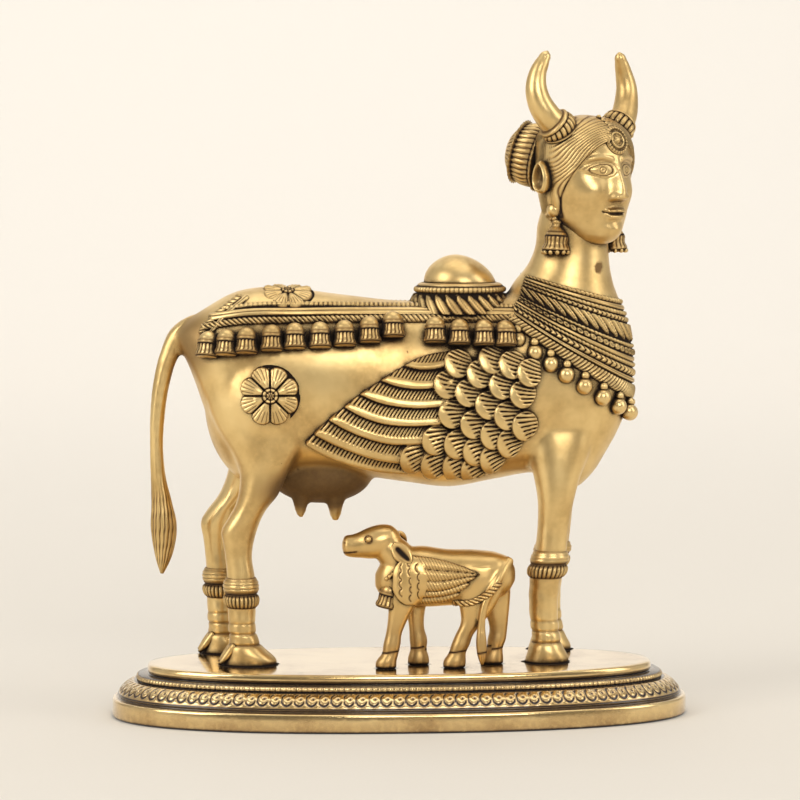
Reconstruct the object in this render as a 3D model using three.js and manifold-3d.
// Kamdhenu in cast brass: a cow with a woman's crowned head and folded wings, her calf beside her,
// both standing on an oval plinth. Lengths are in millimetres. X runs from the tail to the chest,
// Y from the near side to the far side and Z up, from the middle of the plinth's underside.

import * as THREE from 'three';
import { LoftGeometry } from 'three/addons/geometries/LoftGeometry.js';
import { mergeVertices } from 'three/addons/utils/BufferGeometryUtils.js';
import Module from 'manifold-3d';

const wasm = await Module();
wasm.setup();

// Plinth: overall size and the mouldings of its edge, from the foot up
const plinthLength = 180.6;
const plinthDepth = 86;
const plinthRoundness = 2.35; // exponent of the oval plan, 2 for an ellipse
const footBand = 6;
const footGroove = 1;
const footGrooveDepth = 2;
const scrollBand = 4.5;
const scrollSlope = 5.5;
const beadBand = 1.9;
const beadLedge = 1;
const plateThickness = 3;
const plateSetback = 2.5;
const edgeBreak = 0.8;
const plinthSides = 40;
const plinthHeight = footBand + footGroove + scrollBand + beadBand + plateThickness;

// Cow and calf: height over the soles, and where each stands across the plinth
const cowHeight = 191;
const cowAside = 8;
const calfHeight = 45;
const calfAside = -13;

// Each animal is drawn on a squared side view. One square is a share of its own height, and the
// drawing's zero is the table top, so the soles stand at the sole line.
const soleLine = 16.4;
const cowSquare = cowHeight / 191;
const calfSquare = calfHeight / 45;

const brass = { metalness: 1, roughness: 0.28 };

// Solids, joins and cuts

function toSolid(geometry) {
  const bare = geometry.index ? geometry.toNonIndexed() : geometry.clone();
  bare.deleteAttribute('normal');
  bare.deleteAttribute('uv');
  const merged = mergeVertices(bare, 1e-4);
  return new wasm.Manifold(new wasm.Mesh({
    numProp: 3,
    vertProperties: new Float32Array(merged.attributes.position.array),
    triVerts: new Uint32Array(merged.index.array),
  }));
}

function join(solids) {
  let level = solids;
  while (level.length > 1) {
    const next = [];
    for (let i = 0; i < level.length; i += 2) {
      next.push(i + 1 < level.length ? level[i].add(level[i + 1]) : level[i]);
    }
    level = next;
  }
  return level[0];
}

function toMesh(name, solid, colour) {
  const { vertProperties, triVerts } = solid.getMesh();
  const geometry = new THREE.BufferGeometry();
  geometry.setAttribute('position', new THREE.BufferAttribute(new Float32Array(vertProperties), 3));
  geometry.setIndex(new THREE.BufferAttribute(new Uint32Array(triVerts), 1));
  geometry.computeVertexNormals();
  const mesh = new THREE.Mesh(geometry, new THREE.MeshStandardMaterial({ color: colour, ...brass }));
  mesh.name = name;
  return mesh;
}

// Twice the area of a ring, as a vector along its axis
function ringAxis(ring) {
  const axis = new THREE.Vector3();
  ring.forEach((point, i) => {
    axis.add(new THREE.Vector3().crossVectors(point, ring[(i + 1) % ring.length]));
  });
  return axis;
}

function ringMiddle(ring) {
  const middle = new THREE.Vector3();
  ring.forEach((point) => middle.addScaledVector(point, 1 / ring.length));
  return middle;
}

// A closed skin over a row of rings, which are turned where needed so that the skin faces outwards
function loftSolid(rings) {
  const forward = ringMiddle(rings[rings.length - 1]).sub(ringMiddle(rings[0]));
  const outward = ringAxis(rings[1]).dot(forward) > 0;
  const sections = outward ? rings : rings.map((ring) => [...ring].reverse());
  return toSolid(new LoftGeometry(sections, { closed: true, capStart: true, capEnd: true }));
}

const clamp01 = (value) => Math.min(1, Math.max(0, value));
const mix = (a, b, t) => a + (b - a) * t;
const bulge = (value, roundness) => Math.sign(value) * Math.abs(value) ** (2 / roundness);

// Values of a table of stations at a key, in straight lines from row to row
function readTable(table, key) {
  const last = table.length - 1;
  let i = 0;
  while (i < last - 1 && key > table[i + 1][0]) i += 1;
  const t = clamp01((key - table[i][0]) / (table[i + 1][0] - table[i][0]));
  return table[i].slice(1).map((value, k) => mix(value, table[i + 1][k + 1], t));
}

// A drawing turns squares of one animal's side view into places on the plinth
function drawing(square, aside) {
  const at = (x, y, z) => new THREE.Vector3(
    x * square, aside + y * square, plinthHeight + (z - soleLine) * square,
  );

  // Level rings, each [height, rear, front, middle across, half width]
  const upright = (stations, sides) => loftSolid(stations.map(([z, rear, front, y, half]) => {
    const ring = [];
    for (let i = 0; i < sides; i += 1) {
      const angle = (i / sides) * 2 * Math.PI;
      ring.push(at(mix(rear, front, 0.5 + 0.5 * Math.cos(angle)), y + half * Math.sin(angle), z));
    }
    return ring;
  }));

  // Round rings along a bent path, each point [x, y, z, radius]
  const tube = (points, sides) => {
    const path = points.map(([x, y, z]) => new THREE.Vector3(x, y, z));
    const side = new THREE.Vector3();
    const up = new THREE.Vector3(0, 1, 0);
    return loftSolid(path.map((point, i) => {
      const before = path[Math.max(0, i - 1)];
      const after = path[Math.min(path.length - 1, i + 1)];
      const along = after.clone().sub(before).normalize();
      side.crossVectors(along, up).normalize();
      const across = new THREE.Vector3().crossVectors(side, along);
      const ring = [];
      for (let k = 0; k < sides; k += 1) {
        const angle = (k / sides) * 2 * Math.PI;
        const spot = point.clone();
        spot.addScaledVector(side, points[i][3] * Math.cos(angle));
        spot.addScaledVector(across, points[i][3] * Math.sin(angle));
        ring.push(at(spot.x, spot.y, spot.z));
      }
      return ring;
    }));
  };

  // A turned form, profile [[radius, height], ...] from the axis to the axis, set upright at a place
  // or leaning to a direction
  const turned = (profile, sides, place, direction = [0, 0, 1]) => {
    const points = profile.map(([r, h]) => new THREE.Vector2(r * square, h * square));
    const geometry = new THREE.LatheGeometry(points, sides);
    const turn = new THREE.Quaternion().setFromUnitVectors(
      new THREE.Vector3(0, 1, 0), new THREE.Vector3(...direction).normalize(),
    );
    geometry.applyQuaternion(turn);
    geometry.translate(...at(...place).toArray());
    return toSolid(geometry);
  };

  // An egg-shaped lump with three half sizes
  const lump = ([x, y, z], [rx, ry, rz], sides = 8, rings = 5, turn = 0) => {
    const geometry = new THREE.SphereGeometry(1, sides, rings);
    geometry.rotateX(Math.PI / 2);
    geometry.scale(rx * square, ry * square, rz * square);
    geometry.rotateZ(turn);
    geometry.translate(...at(x, y, z).toArray());
    return toSolid(geometry);
  };

  return { at, upright, tube, turned, lump, square };
}

// Plinth

function plinth() {
  const slopeFoot = footBand + footGroove;
  const beadFoot = slopeFoot + scrollBand;
  const plateFoot = beadFoot + beadBand;
  const slopeInset = footGrooveDepth + scrollSlope;
  const beadInset = slopeInset + beadLedge;
  const plateInset = beadInset + plateSetback;
  const profile = [
    [edgeBreak, 0],
    [0, edgeBreak],
    [0, footBand],
    [footGrooveDepth, footBand],
    [footGrooveDepth, slopeFoot],
    [footGrooveDepth + scrollSlope * 0.35, slopeFoot + scrollBand * 0.62],
    [slopeInset, beadFoot],
    [beadInset, plateFoot],
    [plateInset, plateFoot],
    [plateInset, plinthHeight - edgeBreak],
    [plateInset + edgeBreak, plinthHeight],
  ];
  const rings = profile.map(([inset, height]) => {
    const ring = [];
    for (let i = 0; i < plinthSides; i += 1) {
      const angle = (i / plinthSides) * 2 * Math.PI;
      const x = (plinthLength / 2 - inset) * bulge(Math.cos(angle), plinthRoundness);
      const y = (plinthDepth / 2 - inset) * bulge(Math.sin(angle), plinthRoundness);
      ring.push(new THREE.Vector3(x, y, height));
    }
    return ring;
  });
  return loftSolid(rings);
}

// Cow: torso and chest, on her own drawing

const cow = drawing(cowSquare, cowAside);

// Torso, each [x, belly, back, half width]
const torsoTable = [
  [-69.5, 114, 120.3, 3],
  [-66, 104, 123.5, 9],
  [-59, 91, 128, 14.5],
  [-49, 80, 133, 18.5],
  [-36, 74.5, 133.4, 20.5],
  [-16, 74, 131, 21.3],
  [2, 72, 129.3, 22],
  [16, 70.5, 130, 22.3],
  [30, 73.2, 131, 21.5],
  [42, 75, 132, 19.8],
  [54, 75, 130, 17],
  [64, 82, 125, 12],
  [71, 94, 117, 5],
];
const torsoRoundness = 2.3;

// Chest and neck, each [height, rear, front, half width]
const chestTable = [
  [71.5, 50, 58.5, 6],
  [75, 42, 62, 11.5],
  [80, 36, 65, 15],
  [88, 30, 69.5, 17.5],
  [97, 28, 73, 18.6],
  [107, 28, 74.3, 18.6],
  [118, 30, 73.4, 17.2],
  [127, 33, 71, 15.2],
  [135, 36.5, 68, 13],
  [140, 41, 67, 11.6],
  [146, 43.6, 66.5, 10.8],
  [156, 44, 66, 10.6],
  [160, 46, 64, 9.5],
];

function torsoSide(x, z) {
  const [belly, back, half] = readTable(torsoTable, x);
  const rise = Math.abs((z - (belly + back) / 2) / ((back - belly) / 2));
  return half * Math.max(0, 1 - rise ** torsoRoundness) ** (1 / torsoRoundness);
}

// Haunches: one egg-shaped swelling across the torso, over both hind legs
const haunch = { x: -42, z: 98, length: 19, rise: 27, half: 22.6 };

function haunchSide(x, z) {
  const reach = Math.hypot((x - haunch.x) / haunch.length, (z - haunch.z) / haunch.rise);
  return haunch.half * Math.sqrt(Math.max(0, 1 - reach ** 2));
}

function chestSide(x, z) {
  const [rear, front, half] = readTable(chestTable, z);
  const reach = (x - (rear + front) / 2) / ((front - rear) / 2);
  return half * Math.sqrt(Math.max(0, 1 - reach ** 2));
}

// Half width of the whole body at a place of the side view
const bodySide = (x, z) => Math.max(torsoSide(x, z), chestSide(x, z), haunchSide(x, z));

// A way to place things on an animal's flank: across a place of the side view, lifted off the
// surface; side is -1 near and 1 far
function flankOf(animal, halfWidth) {
  const step = 0.8;
  return (x, z, side, lift) => {
    const here = halfWidth(x, z);
    const slopeX = (halfWidth(x + step, z) - halfWidth(x - step, z)) / (2 * step);
    const slopeZ = (halfWidth(x, z + step) - halfWidth(x, z - step)) / (2 * step);
    const scale = lift / Math.hypot(1, slopeX, slopeZ);
    return animal.at(x - slopeX * scale, side * (here + scale), z - slopeZ * scale);
  };
}

// A flat strip laid on a flank along [x, z, half width, lift] points, from under the skin outwards
function flankStrip(flank, points, side) {
  const sunk = -1.4;
  return loftSolid(points.map(([x, z, half, lift], i) => {
    const before = points[Math.max(0, i - 1)];
    const after = points[Math.min(points.length - 1, i + 1)];
    const length = Math.hypot(after[0] - before[0], after[1] - before[1]);
    const nx = (-(after[1] - before[1]) / length) * half;
    const nz = ((after[0] - before[0]) / length) * half;
    return [
      flank(x - nx, z - nz, side, sunk),
      flank(x - nx, z - nz, side, lift),
      flank(x + nx, z + nz, side, lift),
      flank(x + nx, z + nz, side, sunk),
    ];
  }));
}

const cowFlank = flankOf(cow, bodySide);

function torso() {
  const sides = 14;
  const rings = torsoTable.map(([x, belly, back, half]) => {
    const ring = [];
    for (let i = 0; i < sides; i += 1) {
      const angle = (i / sides) * 2 * Math.PI;
      const y = half * bulge(Math.cos(angle), torsoRoundness);
      const z = mix(belly, back, 0.5 + 0.5 * bulge(Math.sin(angle), torsoRoundness));
      ring.push(cow.at(x, y, z));
    }
    return ring;
  });
  return loftSolid(rings);
}

function chest() {
  const sides = 14;
  return cow.upright(chestTable.map(([z, rear, front, half]) => [z, rear, front, 0, half]), sides);
}

function haunches() {
  const reach = [haunch.length, haunch.half, haunch.rise];
  return cow.lump([haunch.x, 0, haunch.z], reach, 12, 8);
}

// Legs above the hooves, each [height, rear, front, half width]
const fetlock = 26;
const hindLegTable = [
  [fetlock, -54, -45.2, 5],
  [44.2, -54.4, -45.8, 4.5],
  [54, -55.4, -46, 4.6],
  [58.5, -56.2, -45, 5],
  [62.5, -54, -43.5, 5.4],
  [69, -51, -38.4, 6.5],
  [77, -50.3, -35, 8],
  [88, -56.5, -28.5, 10],
  [100, -61, -24, 10.5],
  [112, -63, -26, 9],
];
const foreLegTable = [
  [fetlock, 40.8, 49.8, 4.9],
  [37.5, 39.9, 49.4, 5.2],
  [43.5, 41.2, 50.8, 5],
  [52, 42.3, 51.8, 4.9],
  [68, 42.7, 54.4, 5.7],
  [76, 41.3, 56.8, 6.3],
  [90, 38, 62, 7],
];

// Anklet rings, each [foot, top, how far it stands out]
const hindAnklets = [[34.6, 38.2, 1], [38.8, 44, 0.9]];
const foreAnklets = [[43.5, 47.2, 1.1], [47.8, 51.4, 0.9]];

// Stance: half the distance between a pair, how far the far leg steps, and the heights over which
// it leaves the near one and the thighs close in under the body
const stanceHalf = 14;
const hindStep = -6;
const foreStep = 4;
const stepTop = 88;
const stepReach = 26;
const thighFoot = 70;
const thighReach = 30;
const thighStance = 0.66; // share of the stance kept at the top of the thigh

// Hoof under the fetlock, each [height, behind the leg's rear, before its front, half width]; the
// toes of the forefeet reach forward by a smaller share
const hoofTable = [
  [soleLine, -2, 6.4, 6.2],
  [18, -1.6, 6.6, 6.4],
  [21, -1.4, 4.4, 6.1],
  [25, -0.3, 2, 6],
];
const foreToe = 0.45;
const dewclaw = { top: 22.5, footHalf: 2.8, topHalf: 2.4 };
const cleft = { gap: 1.1, length: 7, height: 14, before: 7.6 };

function leg(table, anklets, side, step, toe) {
  const middle = side * stanceHalf;
  const shift = (z) => (side > 0 ? step * clamp01((stepTop - z) / stepReach) : 0);
  const inward = (z) => middle * mix(1, thighStance, clamp01((z - thighFoot) / thighReach));
  const row = (z, rear, front, half) => [z, rear + shift(z), front + shift(z), inward(z), half];
  const [, hoofRear, hoofFront] = table[0];
  const rows = table.map(([z, rear, front, half]) => row(z, rear, front, half));
  hoofTable.forEach(([z, behind, before, half]) => {
    rows.push(row(z, hoofRear - behind, hoofFront + before * toe, half));
  });
  anklets.forEach(([foot, top, proud]) => {
    [[foot, 0], [foot, proud], [top, proud], [top, 0]].forEach(([z, out], i) => {
      const [rear, front, half] = readTable(table, z);
      rows.push(row(z + i * 0.02, rear - out, front + out, half + out));
    });
  });
  rows.sort((low, high) => low[0] - high[0]);
  const frontEdge = hoofFront + shift(soleLine);
  const heel = hoofRear + shift(soleLine);
  const claws = cow.upright([
    [soleLine, heel - 0.2, frontEdge, middle, dewclaw.footHalf],
    [dewclaw.top, heel + 1, frontEdge, middle, dewclaw.topHalf],
  ], 5);
  const gap = new THREE.BoxGeometry(cleft.length, cleft.gap, cleft.height);
  gap.scale(cow.square, cow.square, cow.square);
  gap.translate(...cow.at(frontEdge + cleft.before * toe, middle, soleLine).toArray());
  return cow.upright(rows, 6).add(claws).subtract(toSolid(gap));
}

function legs() {
  return [-1, 1].flatMap((side) => [
    leg(hindLegTable, hindAnklets, side, hindStep, 1),
    leg(foreLegTable, foreAnklets, side, foreStep, foreToe),
  ]);
}

// Tail: it leaves the rump, hangs free behind the legs and ends in a tuft
const tailLine = [
  [-62, 0, 121, 4.2],
  [-68, 0, 118.5, 3.8],
  [-72.3, 0, 111.5, 3.2],
  [-74.6, 0, 103, 2.7],
  [-76, 0, 93, 2.4],
  [-76, 0, 80, 2.3],
  [-75.4, 0, 72, 2.8],
  [-74.4, 0, 63, 3.9],
  [-74, 0, 57, 4.2],
  [-74, 0, 51, 3],
  [-74.4, 0, 44, 0.7],
];

// Udder with four teats, each [x, height of the tip]
const udderPlace = { x: -25, z: 71.5, length: 13.5, half: 9.5, rise: 6 };
const teatTips = [[-31, 61.3], [-20, 60]];
const teat = { root: 69, spread: 4.4, rootHalf: 3.3, tipHalf: 1.2 };

function udder() {
  const reach = [udderPlace.length, udderPlace.half, udderPlace.rise];
  const parts = [cow.lump([udderPlace.x, 0, udderPlace.z], reach, 8, 5)];
  teatTips.forEach(([x, tip]) => {
    [-teat.spread, teat.spread].forEach((y) => {
      parts.push(cow.upright([
        [teat.root, x - teat.rootHalf, x + teat.rootHalf, y, teat.rootHalf],
        [tip, x - teat.tipHalf, x + teat.tipHalf, y, teat.tipHalf],
      ], 6));
    });
  });
  return parts;
}

// Hump: a dome over a ring and a skirt of leaves
const humpPlace = { x: 19.5, z: 133 };
const domeReach = [11.6, 11.4, 11];

// Skirt of the hump from its foot up, each [height, reach, how far each second leaf stands out]
const skirtTable = [
  [125, 16.6, 1],
  [132.6, 13.7, 0.3],
  [135.4, 13.3, 0],
];

function hump() {
  const sides = 20;
  const skirt = skirtTable.map(([z, reach, notch]) => {
    const ring = [];
    for (let i = 0; i < sides; i += 1) {
      const angle = (i / sides) * 2 * Math.PI;
      const r = reach + (i % 2 ? notch : 0);
      ring.push(cow.at(humpPlace.x + r * Math.cos(angle), r * Math.sin(angle), z));
    }
    return ring;
  });
  return [cow.lump([humpPlace.x, 0, humpPlace.z], domeReach, 12, 8), loftSolid(skirt)];
}

// Housing over the croup: two raised bands along each flank with a row of bells under them
const bellProfile = [[0, 0], [3.2, 0], [2, 5.2], [0, 7.4]];
const bellRow = [-59.5, -54, -48, -40.5, -33, -25.5, -18, -10, -3, 10, 17.5, 25, 31.5];
const bellFoot = 115.2;
const housingEdge = [[-62, 121.5], [-51, 123.6], [-32, 124.1], [4, 124.4], [34, 124.2]];
const housingUpper = [[-57, 125.4], [-48, 127.8], [-28, 128], [2, 127.2]];

function housing(side) {
  const parts = [
    flankStrip(cowFlank, housingEdge.map((point) => [...point, 0.9, 1.5]), side),
    flankStrip(cowFlank, housingUpper.map((point) => [...point, 1.2, 1.1]), side),
  ];
  bellRow.forEach((x) => {
    const across = bodySide(x, bellFoot + 4) + 0.4;
    parts.push(cow.turned(bellProfile, 4, [x, side * across, bellFoot]));
  });
  return parts;
}

// Rosettes of eight petals: one on each haunch and one on the croup
const haunchRosette = { x: -41.2, z: 101, reach: 9.5 };
const croupRosette = { x: -35, z: 132.6, reach: 8 };

function rosette(place, normal, reach) {
  const petals = 8;
  const shape = new THREE.Shape();
  const steps = petals * 2;
  for (let i = 0; i < steps; i += 1) {
    const angle = (i / steps) * 2 * Math.PI;
    const r = reach * (i % 2 ? 0.84 : 1) * cow.square;
    if (i) shape.lineTo(r * Math.cos(angle), r * Math.sin(angle));
    else shape.moveTo(r, 0);
  }
  const flower = new THREE.ExtrudeGeometry(shape, { depth: 3 * cow.square, bevelEnabled: false });
  const button = new THREE.CylinderGeometry(2.2 * cow.square, 2.8 * cow.square, 4.2 * cow.square, 6);
  button.rotateX(Math.PI / 2);
  button.translate(0, 0, 2 * cow.square);
  return [flower, button].map((geometry) => {
    geometry.translate(0, 0, -1.9 * cow.square);
    geometry.applyQuaternion(new THREE.Quaternion().setFromUnitVectors(
      new THREE.Vector3(0, 0, 1), new THREE.Vector3(...normal).normalize(),
    ));
    geometry.translate(...place.toArray());
    return toSolid(geometry);
  });
}

// Wings: seven long quills, each [tip x, tip z, root x, root z, sag], under rows of rounded scales
const quills = [
  [-29.5, 85.6, 12, 80, 2.2],
  [-27, 89.4, 14, 84.5, 2.2],
  [-23, 93.4, 15.5, 89, 2.2],
  [-18.6, 97.4, 17, 93.5, 2.2],
  [-13.6, 101.4, 18, 98, 2.2],
  [-6.5, 105.4, 19, 102.5, 1.1],
  [2, 109, 20, 107, 1.1],
];
const shoulder = { left: 11.5, right: 35.5, lowLeft: 80, lowRight: 88.5, top: 112.5, lean: 3.6 };

// Outline of one scale, each [behind, below, half width, lift]
const scaleOutline = [
  [4.2, 2.2, 1.3, 2],
  [1.8, 0.8, 2.6, 2.3],
  [-1, -1, 2.3, 0.6],
];
const scaleFit = 4.6; // number of rows in which a scale keeps its drawn size

function wing(side, columns, rows) {
  const parts = quills.map(([tipX, tipZ, rootX, rootZ, sag]) => flankStrip(cowFlank, [
    [tipX, tipZ, 0.8, 1],
    [mix(tipX, rootX, 0.4), mix(tipZ, rootZ, 0.4) - sag, 1.6, 2.1],
    [rootX, rootZ, 1.7, 1.6],
  ], side));
  const size = scaleFit / rows;
  for (let column = 0; column < columns; column += 1) {
    for (let row = 0; row < rows; row += 1) {
      const u = column / (columns - 1);
      const v = (row + (column % 2) * 0.5) / rows;
      const x = mix(shoulder.left, shoulder.right, u) + v * shoulder.lean;
      const z = mix(mix(shoulder.lowLeft, shoulder.lowRight, u), shoulder.top, v);
      parts.push(flankStrip(cowFlank, scaleOutline.map(([behind, below, half, lift]) => (
        [x - behind * size, z - below * size, half * size, lift]
      )), side));
    }
  }
  return parts;
}

// Necklaces fan out from the withers as tilted rings on the chest, from a rear to a front point
const lowFringe = { rearX: 33, rearZ: 121, frontX: 75, frontZ: 95 };
const highBead = { rearX: 41, rearZ: 138.5, frontX: 69, frontZ: 131 };

// One loop round the chest, at a share of the fan, standing out by proud
function chestLoop(share, proud, sides, scallop = 0) {
  const rearX = mix(lowFringe.rearX, highBead.rearX, share);
  const rearZ = mix(lowFringe.rearZ, highBead.rearZ, share);
  const frontX = mix(lowFringe.frontX, highBead.frontX, share);
  const frontZ = mix(lowFringe.frontZ, highBead.frontZ, share);
  const ring = [];
  for (let i = 0; i < sides; i += 1) {
    const angle = (i / sides) * 2 * Math.PI;
    let x = mix(rearX, frontX, 0.5 + 0.5 * Math.cos(angle));
    let z = mix(rearZ, frontZ, 0.5 + 0.5 * Math.cos(angle));
    const lift = proud + (i % 2 ? scallop : 0);
    let half = 0;
    for (let round = 0; round < 4; round += 1) {
      const [back, breast, width] = readTable(chestTable, z);
      x = mix(back, breast, 0.5 + 0.5 * Math.cos(angle)) + lift * Math.cos(angle);
      z = mix(rearZ, frontZ, (x - rearX) / (frontX - rearX));
      half = width;
    }
    ring.push(cow.at(x, (half + lift) * Math.sin(angle), z));
  }
  return ring;
}

// The stack of bands from the fringe up, each [share of the fan, how far it stands out, scallop]
const collarBands = [
  [-0.02, -1.5, 0],
  [0, 1.9, 0.5],
  [0.16, 1.5, 0],
  [0.19, 0.7, 0],
  [0.37, 1.2, 0],
  [0.41, 2, 0.9],
  [0.61, 0.7, 0],
  [0.82, 1.1, 0],
  [1, 1.1, 0],
  [1.02, -1.5, 0],
];

// Pendants: place on the fan, size, and how far round from the withers each hangs
const pendantShare = 0.18;
const pendantRadius = 2.7;
const pendantDrops = [0.44, 0.56, 0.67, 0.78, 0.89, 1];

function necklaces() {
  const sides = 20;
  const bands = collarBands.map(([share, proud, scallop]) => (
    chestLoop(share, proud, sides, scallop)
  ));
  const parts = [loftSolid(bands)];
  const chain = chestLoop(pendantShare, 1.9, 360);
  [-1, 1].forEach((side) => {
    pendantDrops.forEach((reach) => {
      if (reach === 1 && side > 0) return;
      const degrees = 180 * (1 - reach);
      const point = chain[(Math.round(side > 0 ? degrees : 360 - degrees)) % 360];
      const ball = new THREE.SphereGeometry(pendantRadius * cow.square, 5, 3);
      ball.rotateX(Math.PI / 2);
      ball.translate(point.x, point.y, point.z);
      parts.push(toSolid(ball));
    });
  });
  return parts;
}

// Head, turned from the near side towards the chest
const headPlace = [58.6, -1.6, 169];
const headTurn = THREE.MathUtils.degToRad(38);

// A place of the head: to her left, forward and up from its middle
function headAt(left, forward, up) {
  return [
    headPlace[0] + left * Math.cos(headTurn) + forward * Math.sin(headTurn),
    headPlace[1] + left * Math.sin(headTurn) - forward * Math.cos(headTurn),
    headPlace[2] + up,
  ];
}

// Skull and face, each [up, half width, forward reach, rear reach]
const headTable = [
  [-21, 3.2, 12.6, -5],
  [-19, 7.6, 13.6, -1],
  [-15.5, 10.6, 14.2, 3],
  [-10, 12.6, 14.6, 8.6],
  [-2, 14.2, 15, 13.4],
  [7, 14.8, 14.6, 15.4],
  [12, 14, 13, 14.8],
  [16, 11.6, 9.8, 12.6],
  [19, 6, 5, 8],
  [20.2, 1.5, 1, 3],
];

// Nose, each [up, half width, forward reach], on a root inside the face
const noseTable = [
  [3, 0.9, 14.2],
  [-3, 1.3, 16.2],
  [-8.5, 2.5, 18.2],
  [-10, 2.6, 15.8],
];
const noseRoot = 13.2;
const hairTilt = 0.5; // slope of the hairline over the forehead, in radians
const bun = { place: [-6, -14.5, 6], reach: [10, 10, 11] };
const medallion = {
  place: [0, 12.8, 12.6],
  profile: [[0, -2], [4.7, -2], [4.2, 1.1], [0, 1.8]],
  tilt: 0.45,
};
const earringProfile = [[0, 0], [4.4, 0], [2.7, 8.2], [0, 10.5]];
const facePairs = [-1, 1];

function head() {
  const sides = 11;
  const rings = headTable.map(([up, half, forward, rear]) => {
    const ring = [];
    for (let i = 0; i < sides; i += 1) {
      const angle = (i / sides) * 2 * Math.PI;
      const depth = mix(-rear, forward, 0.5 + 0.5 * Math.cos(angle));
      ring.push(cow.at(...headAt(half * Math.sin(angle), depth, up)));
    }
    return ring;
  });
  const faceBlock = new THREE.BoxGeometry(60 * cow.square, 60 * cow.square, 60 * cow.square);
  faceBlock.rotateX(hairTilt);
  faceBlock.rotateZ(headTurn);
  faceBlock.translate(...cow.at(...headAt(0, 36.5, -9)).toArray());
  const hair = cow.lump(headAt(0, -1.4, 4), [15.2, 14.8, 16.6], 10, 6);
  const nose = loftSolid(noseTable.map(([up, half, forward]) => (
    [[-half, noseRoot], [-half * 0.4, forward], [half * 0.4, forward], [half, noseRoot]]
      .map(([left, reach]) => cow.at(...headAt(left, reach, up)))
  )));
  const ahead = [Math.sin(headTurn), -Math.cos(headTurn), medallion.tilt];
  const parts = [
    loftSolid(rings),
    hair.subtract(toSolid(faceBlock)),
    cow.lump(headAt(...bun.place), bun.reach, 8, 5),
    nose,
    cow.lump(headAt(0, 14.6, -13.4), [3.4, 1.8, 1.5], 6, 3, headTurn),
    cow.turned(medallion.profile, 9, headAt(...medallion.place), ahead),
  ];
  facePairs.forEach((side) => {
    const eyeTurn = headTurn + side * 0.35;
    parts.push(
      cow.lump(headAt(side * 5.6, 13, 0), [3.3, 1.7, 1.3], 5, 3, eyeTurn),
      cow.lump(headAt(side * 13.6, -2.4, -1), [1.6, 3.2, 5], 5, 4, headTurn),
      cow.lump(headAt(side * 11.6, -0.6, -11.4), [2.6, 2.6, 2.8], 5, 4),
      cow.turned(earringProfile, 7, headAt(side * 12.4, 0.6, -24)),
    );
  });
  return parts;
}

// Horns in the head's own directions, each [outward, forward, up, radius]
const hornLine = [
  [9, 1.4, 10.5, 4.4],
  [12.6, 1.6, 14.6, 4.6],
  [16.6, 0.8, 18, 4.3],
  [19.4, -0.4, 22.6, 3.9],
  [20.2, -1.2, 27.4, 3.4],
  [19.2, -1.4, 31.8, 2.8],
  [17.2, -0.9, 35.6, 2.1],
  [16, -0.5, 38.1, 0.8],
];

const hornCollar = [[0, -2], [5.4, -2], [5.2, 1.2], [0, 1.2]];

function horns() {
  return facePairs.flatMap((side) => {
    const along = hornLine.map(([out, forward, up, radius]) => (
      [...headAt(side * out, forward, up), radius]
    ));
    const lean = along[2].slice(0, 3).map((value, i) => value - along[1][i]);
    return [cow.tube(along, 6), cow.turned(hornCollar, 8, along[1].slice(0, 3), lean)];
  });
}

function cowSolid() {
  const croup = cow.at(croupRosette.x, 0, croupRosette.z);
  const parts = [
    torso(),
    chest(),
    haunches(),
    ...legs(),
    cow.tube(tailLine, 5),
    ...udder(),
    ...hump(),
    ...necklaces(),
    ...head(),
    ...horns(),
    ...rosette(croup, [0, 0, 1], croupRosette.reach),
    ...wing(-1, 4, 3),
    ...wing(1, 3, 3),
  ];
  [-1, 1].forEach((side) => {
    const seat = cowFlank(haunchRosette.x, haunchRosette.z, side, 0);
    parts.push(...housing(side), ...rosette(seat, [0, side, 0], haunchRosette.reach));
  });
  return join(parts);
}

// Calf, on a drawing of its own

const calf = drawing(calfSquare, calfAside);

// Torso of the calf, each [x, belly, back, half width]
const calfTorsoTable = [
  [-7.5, 40, 47, 3],
  [-3, 37, 52, 6],
  [4, 35.3, 54, 7.2],
  [14, 35.4, 53, 7.4],
  [24, 36.4, 52.6, 7.5],
  [30, 38.4, 51.6, 6.6],
  [34.8, 41.5, 47, 2.2],
];

function calfSide(x, z) {
  const [belly, back, half] = readTable(calfTorsoTable, x);
  const rise = (z - (belly + back) / 2) / ((back - belly) / 2);
  return half * Math.sqrt(Math.max(0, 1 - rise ** 2));
}

const calfFlank = flankOf(calf, calfSide);

// Neck and head of the calf, each [x, y, z, radius]
const calfNeckLine = [[3, 0, 45, 6.6], [-2, 0, 50.5, 5.4], [-6, 0, 55, 4.4]];
const calfHeadLine = [
  [-1.5, 0, 57, 2.2],
  [-4, 0, 57.2, 4],
  [-8.5, 0, 57, 4.4],
  [-13, 0, 55.8, 3.4],
  [-17, 0, 55.4, 2.8],
  [-18.9, 0, 55.4, 1.8],
];
const calfTailLine = [
  [32, -2, 48.5, 1.4],
  [28, -6.6, 42.5, 1.2],
  [24.6, -7.8, 37, 1.1],
  [23.6, -8, 30, 1.3],
  [23.9, -8, 23, 1.6],
  [24, -8, 18, 0.6],
];

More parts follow.
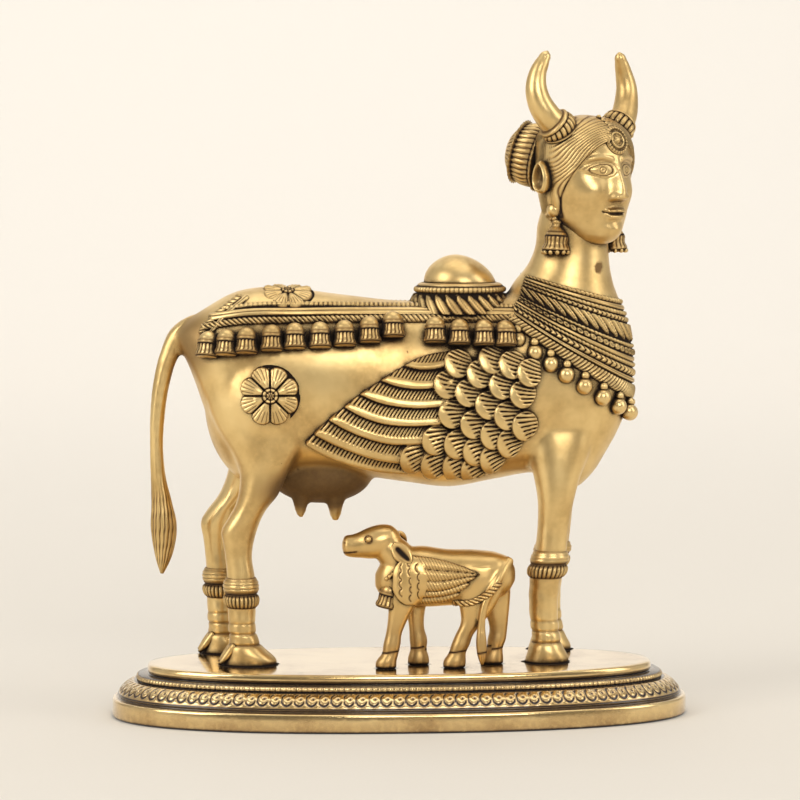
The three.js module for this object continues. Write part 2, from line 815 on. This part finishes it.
// Legs of the calf, each [height, tail side, head side, half width]
const calfStance = 6;
const calfForeNear = [
  [soleLine, -2.4, -8, 2.6],
  [19, -2, -7.6, 2.4],
  [23, -2, -5.6, 1.9],
  [30, 2, -3.6, 2.3],
  [40, 5, -4, 3.4],
];
const calfForeFar = [
  [soleLine, 10, 2.4, 2.6],
  [19, 9.6, 2.8, 2.4],
  [23, 9, 4.4, 1.9],
  [30, 9, 3.4, 2.3],
  [40, 9, 0, 3.4],
];
const calfHindNear = [
  [soleLine, 19, 12.6, 2.6],
  [19, 21, 14.6, 2.4],
  [24, 22.2, 17.6, 1.9],
  [30, 22.6, 16.6, 2.6],
  [41, 31, 16, 3.4],
];
const calfHindFar = [
  [soleLine, 32.6, 25, 2.6],
  [19, 32, 25.8, 2.4],
  [24, 31.4, 26.4, 1.9],
  [30, 32, 25, 2.6],
  [41, 34, 20, 3.4],
];

function calfLeg(rows, middle) {
  const sides = 6;
  return calf.upright(rows.map(([z, rear, front, half]) => [z, front, rear, middle, half]), sides);
}

// Quills of the calf's wing from the lowest to the highest, each [x, z, half width, lift]
const calfQuillLow = [
  [12, 37.5, 0.7, 0.6],
  [7, 38.7, 1, 1.2],
  [0, 42.5, 0.9, 0.8],
];
const calfQuillHigh = [
  [23.4, 46.6, 0.7, 0.6],
  [13, 47.8, 1, 1.2],
  [2, 49.4, 0.9, 0.8],
];

function calfWing(side) {
  const count = 4;
  const parts = [];
  for (let i = 0; i < count; i += 1) {
    const t = i / (count - 1);
    parts.push(flankStrip(calfFlank, calfQuillLow.map((low, k) => (
      low.map((value, axis) => mix(value, calfQuillHigh[k][axis], t))
    )), side));
  }
  return parts;
}

const calfBell = [[0, 0], [3, 0], [2, 5], [0, 9]];

function calfSolid() {
  const sides = 10;
  const torsoRings = calfTorsoTable.map(([x, belly, back, half]) => {
    const ring = [];
    for (let i = 0; i < sides; i += 1) {
      const angle = (i / sides) * 2 * Math.PI;
      ring.push(calf.at(x, half * Math.cos(angle), mix(belly, back, 0.5 + 0.5 * Math.sin(angle))));
    }
    return ring;
  });
  return join([
    loftSolid(torsoRings),
    calf.tube(calfNeckLine, 7),
    calf.tube(calfHeadLine, 7),
    calf.tube(calfTailLine, 5),
    calf.turned(calfBell, 6, [-5, -3.4, 34.6]),
    calf.lump([-3.4, -4.8, 54.4], [3.8, 1.6, 2.6], 5, 4),
    calf.lump([-1.2, 4.2, 56.6], [3.6, 1.6, 2.4], 5, 4),
    calfLeg(calfForeNear, -calfStance),
    calfLeg(calfForeFar, calfStance),
    calfLeg(calfHindNear, -calfStance),
    calfLeg(calfHindFar, calfStance),
    ...calfWing(-1),
    ...calfWing(1),
  ]);
}

const group = new THREE.Group();
group.add(toMesh('plinth', plinth(), 0xb8923f));
group.add(toMesh('cow', cowSolid(), 0xc59b45));
group.add(toMesh('calf', calfSolid(), 0xbd9140));

export default group;
